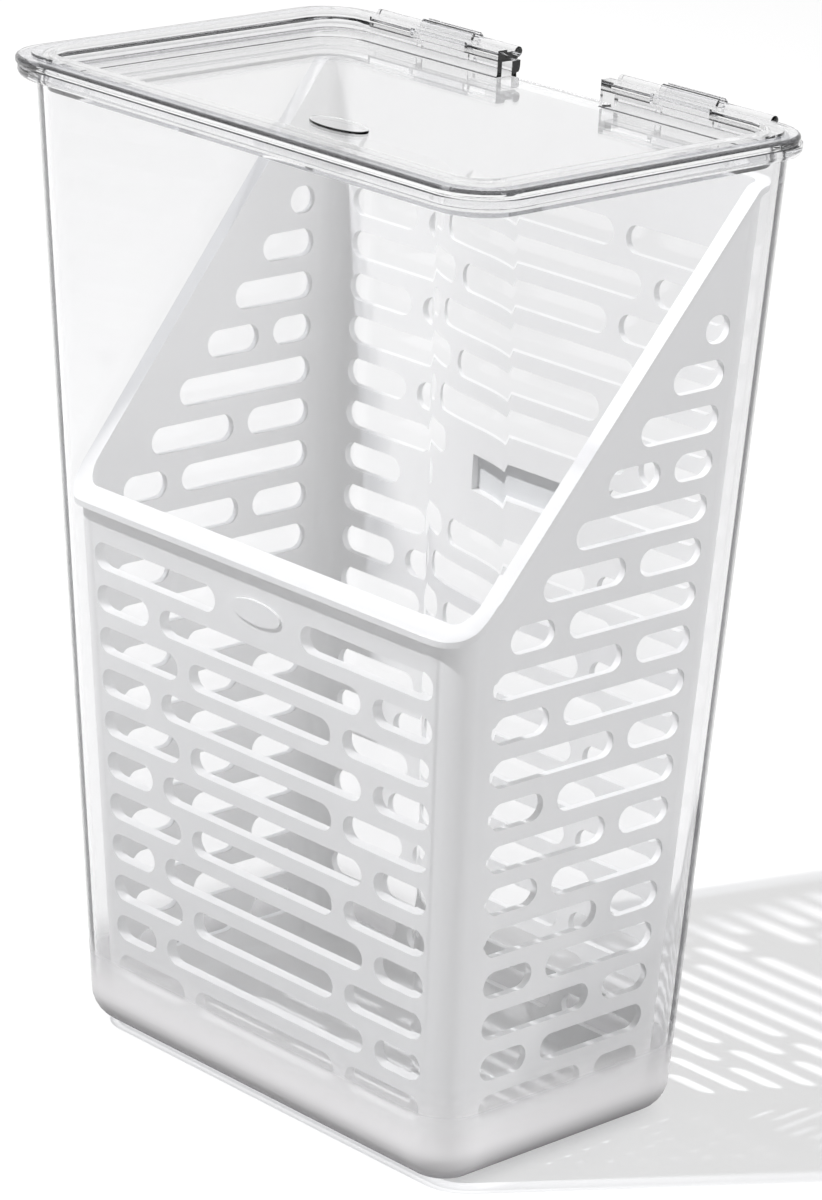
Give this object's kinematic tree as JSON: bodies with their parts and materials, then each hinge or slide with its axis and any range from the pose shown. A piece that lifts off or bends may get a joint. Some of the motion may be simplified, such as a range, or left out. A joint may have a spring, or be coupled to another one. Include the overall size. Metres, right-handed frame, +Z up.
{
  "type": "produce keeper",
  "caption": "Clear tapered food bin with a hinged recessed lid, a white slotted lift-out basket with sloped sides and a grey vent insert in its back wall.",
  "frame": {"origin": "middle of the overall footprint, on the surface that the bin stands on", "axes": "+Z up, the low front of the basket towards -Y, the hinge along X at the back"},
  "size_m": [0.218, 0.149, 0.3313],
  "materials": {
    "clear_tub": "clear",
    "clear_lid": "clear",
    "white_plastic": "satin",
    "grey_plastic": "matt"
  },
  "bodies": {
    "tub": {"bin": "clear_tub", "basket": "white_plastic", "vent_insert": "grey_plastic"},
    "lid": {"lid": "clear_lid"}
  },
  "joints": [
    {"name": "lid_hinge", "type": "hinge", "parent": "tub", "child": "lid", "pos_m": [0, 0.0716, 0.3286], "axis": [-1, 0, 0], "range_deg": [0, 105]}
  ]
}
